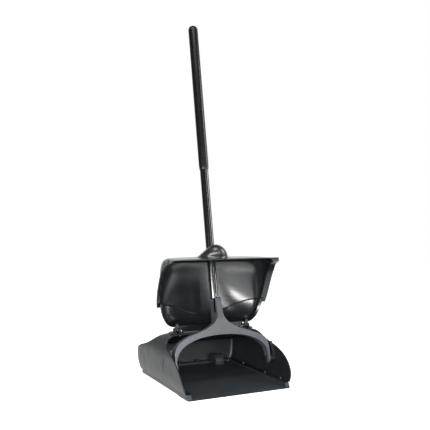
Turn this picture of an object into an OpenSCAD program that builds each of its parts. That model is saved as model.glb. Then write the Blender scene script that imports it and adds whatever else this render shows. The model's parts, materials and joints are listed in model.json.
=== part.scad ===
// Lobby dustpan with a tilting handle and a cover that closes as the handle tips forward.
// Frame: X to the right, Y to the back, Z up. The lip is at the front, and the floor is at Z = 0.

/* [Pan] */
// Width of the front lip
lip_w = 275; // [255:1:295]
// Depth from the lip to the rear
pan_d = 326; // [300:1:350]
// Height of the deck
deck_h = 128; // [122:1:136]
// Width across the side wings
wing_w = 299; // [293:1:315]
// Wall of the pan shell
pan_wall = 2.6; // [2.2:0.1:3.2]
// Height of the shell's lower edge
shell_low = 12.5; // [11.5:0.5:14]
// Height of the floor inside
floor_h = 9; // [8:0.5:10]
// Run of the ramp behind the lip
ramp_run = 42; // [34:1:50]
// How far the deck falls to the rear
deck_fall = 50; // [46:1:56]

/* [Wheels] */
// Radius of a rear wheel
wheel_r = 16; // [13:0.5:17]
// Width of a rear wheel
wheel_w = 14; // [10:0.5:16]
// Distance of each wheel from the middle
wheel_x = 80; // [74:1:88]
// Radius of the wheel axles
axle_r = 3; // [2.5:0.1:3.5]

/* [Yoke and handle] */
// Distance of the pivot in front of the cover's hinge
pivot_front = 63; // [60:0.5:66]
// Height of the pivot
pivot_h = 56; // [53:1:60]
// Radius of the pivot pins
pivot_r = 5; // [4:0.1:5.6]
// Lean of the handle to the back, in degrees
lean = 10.4; // [8:0.2:12]
// Length from the pivot to the top of the handle
handle_len = 919; // [760:1:1000]
// Radius of the handle tube
tube_r = 11.1; // [10:0.1:11.5]
// Wall of the handle tube
tube_wall = 1.2; // [0.9:0.1:1.6]
// Radius of the grip sleeve
grip_r = 13; // [12.4:0.1:14]
// Length of the grip sleeve
grip_len = 400; // [250:1:480]
// Depth of the yoke from front to back
yoke_depth = 22; // [19:0.5:24]
// Height of the yoke's arch above the pivot
arch_rise = 70.5; // [67:0.5:74]
// Half width of the yoke's neck
neck_half = 8; // [7:0.1:9]
// Height of the neck's top above the pivot
neck_top = 163; // [155:1:171]

/* [Cover] */
// Distance of the cover's hinge in front of the pan's middle
hinge_set = 3; // [0:0.5:6]
// Height of the cover's hinge above the deck
hinge_rise = 8; // [7:0.5:10]
// Distance of each hinge inside the wing's face
hinge_in = 49.5; // [47.5:0.5:57.5]
// Radius of the hinge pins
hinge_r = 2.5; // [2:0.1:3]
// Height of the hood's top above the hinge
hood_rise = 182; // [174:1:190]
// Distance of the brim in front of the hinge
brim_reach = 78; // [70:1:84]
// Distance of the hood's back behind the hinge
back_reach = 67; // [58:1:76]
// Wall of the hood
hood_wall = 2.6; // [2:0.1:3]
// Height of the brim's band
brim_h = 9; // [6:0.5:12]
// Radius of the dome's base
dome_r = 40; // [39:0.5:42]
// Height of the dome
dome_h = 34; // [31:0.5:37]

/* [Hidden] */
$fn = 48;

// Clearances and the overrun of every cut
run_gap = 0.06;
snug_gap = 0.02;
seat_gap = 0.3;
over = 1;
far = 40;
charcoal = "#2b2d30";
black = "#1b1c1e";
grey = "#86888b";
steel = "#b9bcc0";

// Main places of the pan
lip_y = -pan_d / 2;
rear_y = pan_d / 2;
hinge_y = -hinge_set;
pivot_y = hinge_y - pivot_front;
hinge_z = deck_h + hinge_rise;
wing_half = wing_w / 2;
hinge_x = wing_half - hinge_in;

// Outline of the pan in plan: straight sides and rear, with round corners
pan_corner = 12;
least_corner = 2;
corner_steps = 8;
level_shares = [0, 0.05, 0.12, 0.22, 0.35, 0.47, 0.57, 0.66, 0.74, 0.81, 0.87, 0.92, 0.96, 0.985, 1];
lip_reveal = 3.5;
foot_half = lip_w / 2 + lip_reveal;
foot_tuck_rear = 3;
flat_share = 0.7;
shoulder_share = 0.46;
shoulder_power = 2.2;
fall_near_share = 0.6;
fall_near_power = 0.6;
fall_far_power = 4;
fall_round = 10;
flat_reach = 15;
flat_end = hinge_y + flat_reach;

// Front edge of the pan's wings, seen from the side
wing_set = 9;
knee_share = 0.73;
knee_front = 52;
knee_pull = 10;
rise_steps = 10;
wing_low_pull_shares = [0.02, 0.54];
wing_high_pull_shares = [0.44, 0.85];
stop_gap = 0.3;

// Tray under the shell
ledge_w = 11;
lip_t = 1.2;
lip_corner = 6;
sole_len = 60;
sole_clear = 1.5;
tray_plate = 3;
skirt_t = 4;
flange_t = 3;
screw_r = 2;
screw_head_r = 3.6;
screw_head_t = 2.2;
screw_boss_r = 4.6;
screw_boss_h = 8;
screw_len = 17;
tray_screw_side_shares = [0.12, 0.36, 0.74];
tray_screw_rear_share = 0.2;

// Wheel housings and axles
wheel_set = 30;
wheel_y = rear_y - wheel_set;
wheel_gap = 1.5;
wheel_room = 2;
cheek_t = 4;
socket_depth = 2.5;
hub_r_share = 0.45;
tread_round = 2;

// Pivots of the yoke
boss_len = 12.5;
boss_r = 10;
bush_wall = 2;
washer_t = 1.4;
washer_r = 9;
side_gap = 0.2;
pivot_head_r = 8;
pivot_head_t = 2.2;
pad_r = 33;
pad_proud = 0.8;
arm_t = 5.6;
wall_in = wing_half - pan_wall;
boss_face = wall_in - boss_len;
arm_out = boss_face - washer_t - 2 * side_gap;
arm_in = arm_out - arm_t;
arm_end_r = 11;
rib_in = 6;
rib_t = 3;
rib_low_drop = 2;
rib_from_share = 0.925;
rib_high_share = 0.885;

// Yoke outline above the pivot, as shares of the arm's half width and of the heights
handle_set = 21.7;
neck_back = 9.5;
taper_share = 0.675;
taper_in = 13;
flare_top_share = 0.77;
flare_share = 0.5;
shoulder_x_share = 0.47;
shoulder_rise = 10;
arm_top_share = 0.27;
shoulder_pull_share = 0.77;
arm_pull_share = 0.87;
arch_pull_share = 0.55;
crown_pull_share = 0.68;
yoke_skin = 3;
curve_steps = 14;
spigot_len = 32;
yoke_screw_r = 2;
yoke_screw_rise = 8;
yoke_head_r = 3.4;
yoke_head_t = 2;
nut_r = 5;
nut_t = 4;
plug_len = 24;
plug_wall = 1.5;
cap_h = 13;
grip_taper = 12;
grip_end_wall = 0.6;

// Hinge blocks on the deck
ear_t = 3;
ear_r = 6;
eye_w = 8;
eye_r = 5.5;
eye_gap = 0.4;
block_foot = 9;
block_front = 9;
block_back = 13;
block_bridge = 4;
block_plate = 3;
block_screw_len = 12;
deck_boss_h = 9;
block_screw_set = 7;
block_head_t = 1.8;
hinge_head_r = 3.4;
hinge_head_t = 1.5;
leg_h = 15;
leg_d = 8;

// Bowl of the cover: heights above the hinge, and its rings
bowl_level_shares = [0, 0.02, 0.05, 0.09, 0.14, 0.2, 0.27, 0.34, 0.42, 0.51, 0.61, 0.71, 0.81, 0.89,
    0.94, 0.97, 0.99, 1];
bowl_steps = 24;
bowl_power = 2.1;
skirt_wall = 2.4;
skirt_in = hood_wall + seat_gap;
ear_clear = 1.2;
bowl_low = hinge_z + ear_r + ear_clear - skirt_in;
hood_top = hinge_z + hood_rise;
bowl_h = hood_top - bowl_low;
lap_gap = 3;
hood_half = wing_half + lap_gap + 3 * hood_wall;
bowl_foot_extra = 3;
bowl_foot_half = hinge_x + bowl_foot_extra;
bowl_foot_back = 15;
bowl_mid_set = 28;
side_full_share = 0.6;
side_power = 2.2;
back_full_share = 0.72;
brim_in = 6;
brim_in_share = 0.8;
side_round = 14;
back_round = 28;
brim_t = 4;
brim_y = hinge_y - brim_reach;
neck_front = 6;
neck_share = 0.3;
edge_power = 0.5;
edge_steps = 18;
edge_foot_set = 3;
seam_low_share = 0.14;
seam_high_share = 0.36;
seam_lap = 8;
seam_steps = 20;

// Dome round the handle, and the slot that lets the handle swing in it
dome_set = 2;
dome_y = hinge_y - dome_set;
dome_wall = 3;
dome_level_shares = [0, 0.03, 0.07, 0.13, 0.21, 0.3, 0.4, 0.5, 0.6, 0.7, 0.79, 0.87, 0.93, 0.97, 0.995];
dome_forward = 20;
dome_flare = 3;
flare_rise_share = 0.13;
rim_w = 14;
rim_h = 6.5;
collar_in = 8.5;
handle_room = 0.9;
slot_front = 24;
slot_back = 2;
panel_front = 40;
panel_back = 1.5;
collar_screw_r = 1.5;
collar_head_r = 2.8;
collar_head_t = 1.6;
collar_screw_len = 6;
collar_screw_angles = [20, 160, 225, 315];

// Cubic curve through four control points
function bez(p, t) = pow(1 - t, 3) * p[0] + 3 * pow(1 - t, 2) * t * p[1]
    + 3 * (1 - t) * t * t * p[2] + pow(t, 3) * p[3];
function bez_run(p, n) = [for (i = [0 : n]) bez(p, i / n)];
function clamp(v) = max(0, min(1, v));
function between(a, b, shares) = [a.x + shares.x * (b.x - a.x), a.y + shares.y * (b.y - a.y)];

// Points of one round corner of the radius r, from the angle a to a right angle further
function corner(middle, r, a) = [for (i = [0 : corner_steps]) let (b = a + 90 * i / corner_steps)
    middle + r * [cos(b), sin(b)]];

// Plan outline with straight sides from the front and a straight rear between round corners, which
// get tighter as the outline moves in from the shell's own outline
function plan(half, rear, front, inset) = let (r = max(least_corner, pan_corner - inset))
    concat([[half, front]], corner([half - r, rear - r], r, 0), corner([r - half, rear - r], r, 90),
    [[-half, front]]);

// Half width and rear end of the pan at a height, moved in by t
function pan_half(z, t) = let (
    low = shell_low + shoulder_share * (deck_h - shell_low),
    q = clamp((z - low) / (deck_h - t - low)),
    tuck = (wing_half - foot_half) * pow(max(0, 1 - (z - shell_low) / (low - shell_low)), 3),
    flat = flat_share * wing_half)
    flat - t + (wing_half - flat) * pow(1 - pow(q, shoulder_power), 1 / shoulder_power) - tuck;
function pan_rear(z, t) = let (
    u = max(0, deck_h - t - z) / deck_fall,
    e = fall_near_share * pow(u, fall_near_power) + (1 - fall_near_share) * pow(u, fall_far_power),
    tuck = foot_tuck_rear * pow(max(0, 1 - (z - shell_low) / (deck_h / 2 - shell_low)), 2))
    flat_end + (rear_y - t - flat_end) * e / pow(1 + pow(e, fall_round), 1 / fall_round) - tuck;
function pan_plan(z, t) = plan(pan_half(z, t), pan_rear(z, t), lip_y - far, t);

// Place in depth of the cover's front edge at a height, from the brim down to the hinge
function edge_y(z) = let (
    brim_z = hood_top - brim_h,
    neck_z = bowl_low + neck_share * bowl_h,
    neck_y = hinge_y - neck_front)
    z > neck_z ? brim_y + (neck_y - brim_y) * pow(clamp((brim_z - z) / (brim_z - neck_z)), edge_power)
    : neck_y + (neck_front + edge_foot_set) * clamp((neck_z - z) / (neck_z - bowl_low));

// Half width, back and plan of the cover's bowl at a height, moved in by t
function smooth(v) = let (q = clamp(v)) q * q * (3 - 2 * q);
function bowl_half(z, t) = let (
    q = clamp((z - bowl_low - t) / (side_full_share * bowl_h)),
    s = (z - bowl_low) / bowl_h,
    u = clamp((z - (hood_top - t - side_round)) / side_round))
    bowl_foot_half - t + (hood_half - bowl_foot_half) * pow(1 - pow(1 - q, side_power), 1 / side_power)
    - brim_in * smooth((s - brim_in_share) / (1 - brim_in_share)) - side_round * (1 - sqrt(1 - u * u));
function bowl_back(z, t) = let (
    q = clamp((z - bowl_low - t) / (back_full_share * bowl_h)),
    u = clamp((z - (hood_top - t - back_round)) / back_round),
    foot = hinge_y + bowl_foot_back)
    foot - t + (hinge_y + back_reach - foot) * sqrt(1 - (1 - q) * (1 - q))
    - back_round * (1 - sqrt(1 - u * u));
function bowl_plan(z, t) = let (
    half = bowl_half(z, t),
    back = bowl_back(z, t),
    mid = hinge_y - bowl_mid_set,
    front = brim_y - far - t)
    concat([[half, front]], [for (i = [0 : bowl_steps]) let (a = 180 * i / bowl_steps)
        [half * sign(cos(a)) * pow(abs(cos(a)), 2 / bowl_power),
        mid + (back - mid) * pow(sin(a), 2 / bowl_power)]], [[-half, front]]);

// Height of the seam between hood and skirt at a distance from the middle
function seam(x) = let (q = clamp(abs(x) / hood_half))
    bowl_low + bowl_h * (seam_low_share + (seam_high_share - seam_low_share) * q * q * (3 - 2 * q));

// Place in depth, at a height, of the leaning plane that lies b behind the pivot
function lean_back_at(b, z) = pivot_y + b / cos(lean) + (z - pivot_h) * tan(lean);

// Solid through rings of points, from the lowest ring to the highest
module loft(rings) {
    n = len(rings[0]);
    top = (len(rings) - 1) * n;
    sides = [for (i = [0 : len(rings) - 2]) for (j = [0 : n - 1]) let (
        a = i * n + j, b = i * n + (j + 1) % n) each [[a, a + n, b], [b, a + n, b + n]]];
    bottom = [[for (j = [0 : n - 1]) j]];
    lid = [[for (j = [n - 1 : -1 : 0]) top + j]];
    polyhedron([for (ring = rings) each ring], concat(sides, bottom, lid));
}

module pan_solid(t, low) {
    high = deck_h - t;
    loft([for (s = level_shares) let (z = low + (high - low) * s)
        [for (p = pan_plan(z, t)) [p.x, p.y, z]]]);
}

module bowl_solid(t) {
    low = bowl_low + t;
    high = hood_top - t;
    loft([for (s = bowl_level_shares) let (z = low + (high - low) * s)
        [for (p = bowl_plan(z, t)) [p.x, p.y, z]]]);
}

// Extrudes a side view across the part
module across(w) {
    translate([-w / 2, 0, 0]) rotate([90, 0, 90]) linear_extrude(w) children();
}

// Extrudes a front view from back to front
module along(d) {
    rotate([90, 0, 0]) linear_extrude(d) children();
}

module rod(r, length) {
    rotate([0, 90, 0]) cylinder(r = r, h = length);
}

// Frame of the yoke and the handle: Z runs up the handle from the pivot
module on_handle() {
    translate([0, pivot_y, pivot_h]) rotate([-lean, 0, 0]) children();
}

module on_handle_axis() {
    on_handle() translate([0, handle_set, 0]) children();
}

// Removes what lies in front of the wings' edge
module mouth_cut() {
    knee = [hinge_y - knee_front, shell_low + knee_share * (deck_h - shell_low)];
    start = [lip_y + wing_set, shell_low];
    stop_y = lean_back_at(handle_set + neck_back, deck_h) + stop_gap;
    wing = bez_run([start, between(start, knee, wing_low_pull_shares),
        between(start, knee, wing_high_pull_shares), knee], curve_steps);
    rise = bez_run([knee, knee + [knee_pull, knee_pull / 4], [stop_y, knee.y + knee_pull],
        [stop_y, deck_h]], rise_steps);
    across(wing_w + far) polygon(concat([[start.x, -over]], wing, rise, [[stop_y, deck_h + over],
        [lip_y - far - over, deck_h + over], [lip_y - far - over, -over]]));
}

function tray_screw_places() = let (inset = lip_reveal + ledge_w / 2, half = foot_half - inset,
    rear = pan_rear(shell_low, 0) - inset)
    concat([for (s = tray_screw_side_shares) for (side = [-1, 1])
        [side * half, lip_y + (rear - lip_y) * s]],
    [for (side = [-1, 1]) [side * tray_screw_rear_share * half, rear]]);

// Ribs on the inside of the wings, beside the arms of the yoke
module wing_ribs() {
    low = pivot_h - rib_low_drop;
    high = rib_high_share * deck_h;
    intersection() {
        difference() {
            pan_solid(pan_wall / 2, shell_low);
            pan_solid(pan_wall + rib_in, shell_low - over);
        }
        on_handle() translate([-wing_w, rib_t - yoke_depth / 2, -deck_h])
            cube([2 * wing_w, rib_t, 3 * deck_h]);
        for (side = [0, 1]) mirror([side, 0, 0]) translate([rib_from_share * arm_out, lip_y, low])
            cube([wing_half, pan_d, high - low]);
    }
}

module pan_shell() color(charcoal) {
    difference() {
        union() {
            difference() {
                pan_solid(0, shell_low);
                pan_solid(pan_wall, shell_low - over);
                mouth_cut();
            }
            wing_ribs();
            // Flange that stands on the tray
            difference() {
                translate([0, 0, shell_low]) linear_extrude(flange_t) difference() {
                    polygon(pan_plan(shell_low, 0));
                    polygon(plan(lip_w / 2 - ledge_w, pan_rear(shell_low, 0) - lip_reveal - ledge_w,
                        lip_y - far - over, lip_reveal + ledge_w));
                }
                mouth_cut();
                for (side = [-1, 1])
                    translate([side * wheel_x - housing_half() - seat_gap, wheel_y - pan_d, 0])
                    cube([2 * housing_half() + 2 * seat_gap, pan_d + housing_r() + seat_gap, deck_h]);
            }
            for (p = tray_screw_places()) translate([p.x, p.y, shell_low])
                cylinder(r = screw_boss_r, h = screw_boss_h);
            for (side = [0, 1]) mirror([side, 0, 0]) {
                translate([boss_face, pivot_y, pivot_h]) rod(boss_r, boss_len + pan_wall / 2);
                translate([wall_in, pivot_y, pivot_h]) rod(pad_r, pan_wall + pad_proud);
            }
            for (x = hinge_screw_places())
                translate([x, hinge_y + block_screw_set, deck_h - pan_wall - deck_boss_h])
                cylinder(r = screw_boss_r, h = deck_boss_h + pan_wall / 2);
        }
        for (p = tray_screw_places()) translate([p.x, p.y, shell_low - over])
            cylinder(r = screw_r + snug_gap, h = screw_boss_h);
        for (side = [0, 1]) mirror([side, 0, 0]) translate([boss_face - over, pivot_y, pivot_h])
            rod(pivot_r + run_gap + bush_wall + snug_gap, boss_len + over);
        for (x = hinge_screw_places()) translate([x, hinge_y + block_screw_set, deck_h - block_screw_len])
            cylinder(r = screw_r + snug_gap, h = block_screw_len + over);
    }
}

function housing_half() = wheel_w / 2 + wheel_gap + cheek_t;
function housing_r() = wheel_r + wheel_room + pan_wall;

module floor_tray() color(black) {
    half = lip_w / 2;
    rear = pan_rear(shell_low, 0) - lip_reveal;
    room_r = wheel_r + wheel_room;
    difference() {
        union() {
            difference() {
                linear_extrude(shell_low) polygon(plan(half, rear, lip_y, lip_reveal));
                translate([0, 0, floor_h]) linear_extrude(shell_low)
                    polygon(plan(half - ledge_w, rear - ledge_w, lip_y - over, lip_reveal + ledge_w));
                translate([0, 0, -over]) linear_extrude(floor_h - tray_plate + over)
                    polygon(plan(half - skirt_t, rear - skirt_t, lip_y + sole_len, lip_reveal + skirt_t));
                // Ramp from the lip to the floor, and the open front beyond the wings
                across(lip_w - 2 * ledge_w) polygon([[lip_y - over, lip_t], [lip_y, lip_t],
                    [lip_y + ramp_run, floor_h], [lip_y + ramp_run, deck_h], [lip_y - over, deck_h]]);
                across(lip_w + far) polygon([[lip_y - over, lip_t], [lip_y, lip_t],
                    [lip_y + wing_set, lip_t + wing_set * (floor_h - lip_t) / ramp_run],
                    [lip_y + wing_set, deck_h], [lip_y - over, deck_h]]);
            }
            for (side = [-1, 1]) translate([side * wheel_x, 0, 0]) housing();
            for (p = tray_screw_places()) translate([p.x, p.y, sole_clear])
                cylinder(r = screw_boss_r, h = shell_low - sole_clear);
        }
        for (side = [-1, 1]) translate([side * wheel_x - wheel_w / 2 - wheel_gap, wheel_y, 0]) {
            translate([0, 0, wheel_r]) rod(room_r, wheel_w + 2 * wheel_gap);
            translate([0, -room_r, -over]) cube([wheel_w + 2 * wheel_gap, 2 * room_r, wheel_r + over]);
            translate([-socket_depth, 0, wheel_r])
                rod(axle_r + snug_gap, wheel_w + 2 * wheel_gap + 2 * socket_depth);
        }
        // Only the sole and the wheels reach the floor
        translate([-lip_w, lip_y + sole_len, -far]) cube([2 * lip_w, pan_d, far + sole_clear]);
        for (side = [0, 1]) mirror([side, 0, 0]) translate([half, lip_y, -over]) lip_corner_cut();
        for (p = tray_screw_places()) {
            translate([p.x, p.y, -over]) cylinder(r = screw_r + snug_gap, h = shell_low + 2 * over);
            translate([p.x, p.y, -over])
                cylinder(r = screw_head_r + snug_gap, h = over + sole_clear + screw_head_t);
        }
    }
}

// Rounds one front corner of the tray
module lip_corner_cut() {
    difference() {
        translate([-lip_corner, -over, 0]) cube([lip_corner + over, lip_corner + over, deck_h]);
        translate([-lip_corner, lip_corner, -over]) cylinder(r = lip_corner, h = deck_h + 2 * over);
    }
}

// Outer form of one wheel housing, with its round top over the wheel
module housing() {
    r = housing_r();
    half = housing_half();
    translate([-half, wheel_y, wheel_r]) rod(r, 2 * half);
    translate([-half, wheel_y - r, sole_clear]) cube([2 * half, 2 * r, wheel_r - sole_clear]);
}

module tray_screws() color(steel) {
    for (p = tray_screw_places()) translate([p.x, p.y, sole_clear]) {
        cylinder(r = screw_head_r, h = screw_head_t);
        cylinder(r = screw_r, h = screw_len);
    }
}

function hinge_screw_places() = [for (side = [-1, 1]) for (out = [-1, 1])
    side * hinge_x + out * (eye_w / 2 + eye_gap + ear_t + block_foot / 2)];

// One hinge block, drawn round the middle of its own eye
module hinge_block() {
    inner = eye_w / 2 + eye_gap;
    outer = inner + ear_t + block_foot;
    color(charcoal) difference() {
        union() {
            for (side = [0, 1]) mirror([side, 0, 0]) {
                translate([inner, hinge_y, hinge_z]) rod(ear_r, ear_t);
                translate([inner, hinge_y - ear_r, deck_h]) cube([ear_t, 2 * ear_r, hinge_rise]);
                translate([inner, hinge_y - block_front, deck_h])
                    cube([outer - inner, block_front + block_back, block_plate]);
            }
            translate([-outer, hinge_y + block_back - block_bridge, deck_h])
                cube([2 * outer, block_bridge, block_plate]);
        }
        translate([-outer, hinge_y, hinge_z]) rod(hinge_r + run_gap, 2 * outer);
        for (side = [-1, 1])
            translate([side * (outer - block_foot / 2), hinge_y + block_screw_set, deck_h - over])
            cylinder(r = screw_r + snug_gap, h = block_plate + 2 * over);
    }
}

module hinge_block_left() translate([-hinge_x, 0, 0]) hinge_block();
module hinge_block_right() translate([hinge_x, 0, 0]) hinge_block();

module hinge_block_screws() color(steel) {
    for (x = hinge_screw_places()) translate([x, hinge_y + block_screw_set, deck_h + block_plate]) {
        cylinder(r = screw_head_r, h = block_head_t);
        translate([0, 0, -block_screw_len]) cylinder(r = screw_r, h = block_screw_len);
    }
}

module pivot_bush() {
    color(black) translate([boss_face, pivot_y, pivot_h]) difference() {
        rod(pivot_r + run_gap + bush_wall, boss_len);
        translate([-over, 0, 0]) rod(pivot_r + run_gap, boss_len + 2 * over);
    }
}

module pivot_bush_left() mirror([1, 0, 0]) pivot_bush();
module pivot_bush_right() pivot_bush();

module pivot_pin() {
    color(steel) translate([arm_in, pivot_y, pivot_h]) {
        translate([-pivot_head_t, 0, 0]) rod(pivot_head_r, pivot_head_t);
        rod(pivot_r, wall_in - arm_in - side_gap);
    }
}

module pivot_pin_left() mirror([1, 0, 0]) pivot_pin();
module pivot_pin_right() pivot_pin();

module pivot_washers() color(steel) {
    for (side = [0, 1]) mirror([side, 0, 0]) translate([arm_out, pivot_y, pivot_h]) difference() {
        rod(washer_r, washer_t);
        translate([-over, 0, 0]) rod(pivot_r + snug_gap, washer_t + 2 * over);
    }
}

module axle(x) {
    color(steel) translate([x - wheel_w / 2 - wheel_gap - socket_depth, wheel_y, wheel_r])
        rod(axle_r, wheel_w + 2 * wheel_gap + 2 * socket_depth);
}

module axle_left() axle(-wheel_x);
module axle_right() axle(wheel_x);

// Wheel with a rounded tread and a hub that stands proud to the cheeks
module wheel(x) {
    hub = wheel_w / 2 + wheel_gap / 2;
    color(black) translate([x, wheel_y, wheel_r]) rotate([0, 90, 0]) rotate_extrude() polygon([
        [axle_r + run_gap, -hub], [hub_r_share * wheel_r, -hub], [hub_r_share * wheel_r, -wheel_w / 2],
        [wheel_r - tread_round, -wheel_w / 2], [wheel_r, tread_round - wheel_w / 2],
        [wheel_r, wheel_w / 2 - tread_round], [wheel_r - tread_round, wheel_w / 2],
        [hub_r_share * wheel_r, wheel_w / 2], [hub_r_share * wheel_r, hub], [axle_r + run_gap, hub]]);
}

module wheel_left() wheel(-wheel_x);
module wheel_right() wheel(wheel_x);

// Front view of the yoke, from the arms up to the neck
module yoke_outline() {
    shoulder = [shoulder_x_share * arm_out, arch_rise + shoulder_rise];
    flare = flare_top_share * neck_top;
    outer = concat([[neck_half, neck_top]],
        bez_run([[neck_half, flare], [neck_half, shoulder.y + flare_share * (flare - shoulder.y)],
            [shoulder.x / 2, shoulder.y + shoulder_rise], shoulder], curve_steps),
        bez_run([shoulder, [shoulder_pull_share * arm_out, arch_rise - shoulder_rise / 4],
            [arm_out, arm_pull_share * arch_rise], [arm_out, arm_top_share * arch_rise]], curve_steps),
        [[arm_out, 0]]);
    pull = arm_end_r + arch_pull_share * (arch_rise - arm_end_r);
    arch = concat([[arm_in, 0]], bez_run([[arm_in, arm_end_r], [arm_in, pull],
        [crown_pull_share * arm_in, arch_rise], [0, arch_rise]], curve_steps));
    right = concat(outer, arch);
    polygon(concat(right, [for (i = [len(right) - 2 : -1 : 0]) [-right[i].x, right[i].y]]));
}

module yoke() color(grey) {
    front = -yoke_depth / 2;
    fin_depth = handle_set + neck_back - front;
    on_handle() difference() {
        union() {
            difference() {
                translate([0, -front, 0]) along(yoke_depth) yoke_outline();
                // The back is hollow, with a skin along every edge
                translate([0, over - front, 0]) along(yoke_depth - yoke_skin + over)
                    offset(delta = -yoke_skin) yoke_outline();
            }
            for (side = [0, 1]) mirror([side, 0, 0]) translate([arm_in, 0, 0]) {
                rod(arm_end_r, arm_t);
                translate([0, front, 0]) cube([arm_t, yoke_depth, arm_end_r]);
            }
            // Deep fin of the neck, which carries the spigot of the tube
            difference() {
                translate([-neck_half, front, arch_rise])
                    cube([2 * neck_half, fin_depth, neck_top - arch_rise]);
                translate([yoke_skin - neck_half, front + taper_in + yoke_skin, arch_rise + yoke_skin])
                    cube([2 * (neck_half - yoke_skin), fin_depth, neck_top - arch_rise - 3 * yoke_skin]);
            }
            translate([0, handle_set, neck_top - yoke_skin])
                cylinder(r = tube_r - tube_wall - snug_gap, h = spigot_len + yoke_skin);
        }
        for (side = [0, 1]) mirror([side, 0, 0]) translate([arm_in - over, 0, 0])
            rod(pivot_r + snug_gap, arm_t + 2 * over);
        translate([0, handle_set + far, neck_top + yoke_screw_rise]) rotate([90, 0, 0])
            cylinder(r = yoke_screw_r + snug_gap, h = 2 * far);
        // The neck's front slopes back towards the tube
        across(2 * far) polygon([[front, taper_share * neck_top], [front + taper_in, neck_top],
            [front + taper_in, neck_top + over], [front - over, neck_top + over],
            [front - over, taper_share * neck_top]]);
    }
}

module yoke_screw() color(steel) {
    on_handle_axis() translate([0, -tube_r, neck_top + yoke_screw_rise]) rotate([-90, 0, 0]) {
        translate([0, 0, -yoke_head_t]) cylinder(r = yoke_head_r, h = yoke_head_t);
        cylinder(r = yoke_screw_r, h = 2 * tube_r + nut_t);
    }
}

module yoke_nut() color(steel) {
    on_handle_axis() translate([0, tube_r, neck_top + yoke_screw_rise]) rotate([-90, 0, 0]) difference() {
        cylinder(r = nut_r, h = nut_t, $fn = 6);
        translate([0, 0, -over]) cylinder(r = yoke_screw_r + snug_gap, h = nut_t + 2 * over);
    }
}

module handle_tube() color(black) {
    on_handle_axis() difference() {
        translate([0, 0, neck_top]) cylinder(r = tube_r, h = handle_len - cap_h - neck_top);
        translate([0, 0, neck_top - over]) cylinder(r = tube_r - tube_wall, h = handle_len);
        translate([0, far, neck_top + yoke_screw_rise]) rotate([90, 0, 0])
            cylinder(r = yoke_screw_r + snug_gap, h = 2 * far);
    }
}

module grip_sleeve() color(black) {
    low = handle_len - cap_h - grip_len;
    on_handle_axis() rotate_extrude() polygon([[tube_r + snug_gap, low], [tube_r + grip_end_wall, low],
        [grip_r, low + grip_taper], [grip_r, handle_len - cap_h], [tube_r + snug_gap, handle_len - cap_h]]);
}

module end_cap() color(black) {
    base = handle_len - cap_h;
    plug_r = tube_r - tube_wall - snug_gap;
    dome = [for (i = [0 : curve_steps]) let (a = 90 * i / curve_steps)
        [grip_r * cos(a), base + cap_h * sin(a)]];
    on_handle_axis() rotate_extrude() polygon(concat(dome, [[0, base], [plug_r - plug_wall, base],
        [plug_r - plug_wall, base - plug_len], [plug_r, base - plug_len], [plug_r, base]]));
}

// Removes what lies in front of the cover's side edges, below the brim
module hood_front_cut() {
    brim_z = hood_top - brim_h;
    neck_z = bowl_low + neck_share * bowl_h;
    edge = [for (i = [0 : edge_steps]) let (z = brim_z + (neck_z - brim_z) * pow(i / edge_steps, 2))
        [edge_y(z), z]];
    across(2 * (hood_half + far)) polygon(concat([[brim_y, hood_top + over]], edge,
        [[edge_y(bowl_low), bowl_low], [edge_y(bowl_low), bowl_low - over],
        [brim_y - 2 * far, bowl_low - over], [brim_y - 2 * far, hood_top + over]]));
}

// Front view of all that lies below the seam, moved up by rise
module below_seam(rise) {
    w = hood_half + far;
    polygon(concat([for (i = [-seam_steps : seam_steps]) let (x = w * i / seam_steps) [x, seam(x) + rise]],
        [[w, 0], [-w, 0]]));
}

// Slot through the top of the cover, from y0 to y1 between the middles of its round ends
module cover_slot(r, y0, y1, low, high) {
    for (y = [y0, y1]) translate([0, y, low]) cylinder(r = r, h = high - low);
    translate([-r, y0, low]) cube([2 * r, y1 - y0, high - low]);
}

function collar_places() = [for (a = collar_screw_angles) let (r = dome_r - collar_in)
    [r * cos(a), dome_y + r * sin(a)]];

module cover_hood() color(charcoal) {
    at_panel = lean_back_at(handle_set, hood_top);
    difference() {
        bowl_solid(0);
        // Hollow behind the turned-down band of the brim
        difference() {
            bowl_solid(hood_wall);
            translate([-hood_half, brim_y - over, hood_top - brim_h])
                cube([2 * hood_half, brim_t + over, brim_h]);
        }
        hood_front_cut();
        translate([0, far + back_reach, 0]) along(3 * far + back_reach + brim_reach) below_seam(-seam_lap);
        cover_slot(tube_r + handle_room, at_panel - panel_front, at_panel + panel_back,
            hood_top - far, hood_top + over);
        for (p = collar_places()) translate([p.x, p.y, hood_top - far])
            cylinder(r = collar_screw_r + snug_gap, h = far + over);
    }
}

module cover_skirt() color(charcoal) {
    difference() {
        union() {
            intersection() {
                difference() {
                    bowl_solid(skirt_in);
                    bowl_solid(skirt_in + skirt_wall);
                    hood_front_cut();
                }
                translate([0, far + back_reach, 0]) along(3 * far + back_reach + brim_reach)
                    below_seam(seam_lap / 4);
            }
            for (side = [-1, 1]) translate([side * hinge_x - eye_w / 2, hinge_y, hinge_z]) {
                rod(eye_r, eye_w);
                translate([0, -leg_d / 2, 0]) cube([eye_w, leg_d, leg_h]);
            }
        }
        for (side = [-1, 1]) translate([side * hinge_x - eye_w / 2 - over, hinge_y, hinge_z])
            rod(hinge_r + snug_gap, eye_w + 2 * over);
    }
}

module hinge_pin(side) {
    reach = eye_w / 2 + eye_gap + ear_t;
    color(steel) translate([side * hinge_x, hinge_y, hinge_z]) {
        translate([-reach - eye_gap, 0, 0]) rod(hinge_r, 2 * reach + 2 * eye_gap);
        translate([reach + eye_gap, 0, 0]) rod(hinge_head_r, hinge_head_t);
        translate([-reach - eye_gap - hinge_head_t, 0, 0]) rod(hinge_head_r, hinge_head_t);
    }
}

module hinge_pin_left() hinge_pin(-1);
module hinge_pin_right() hinge_pin(1);

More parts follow.
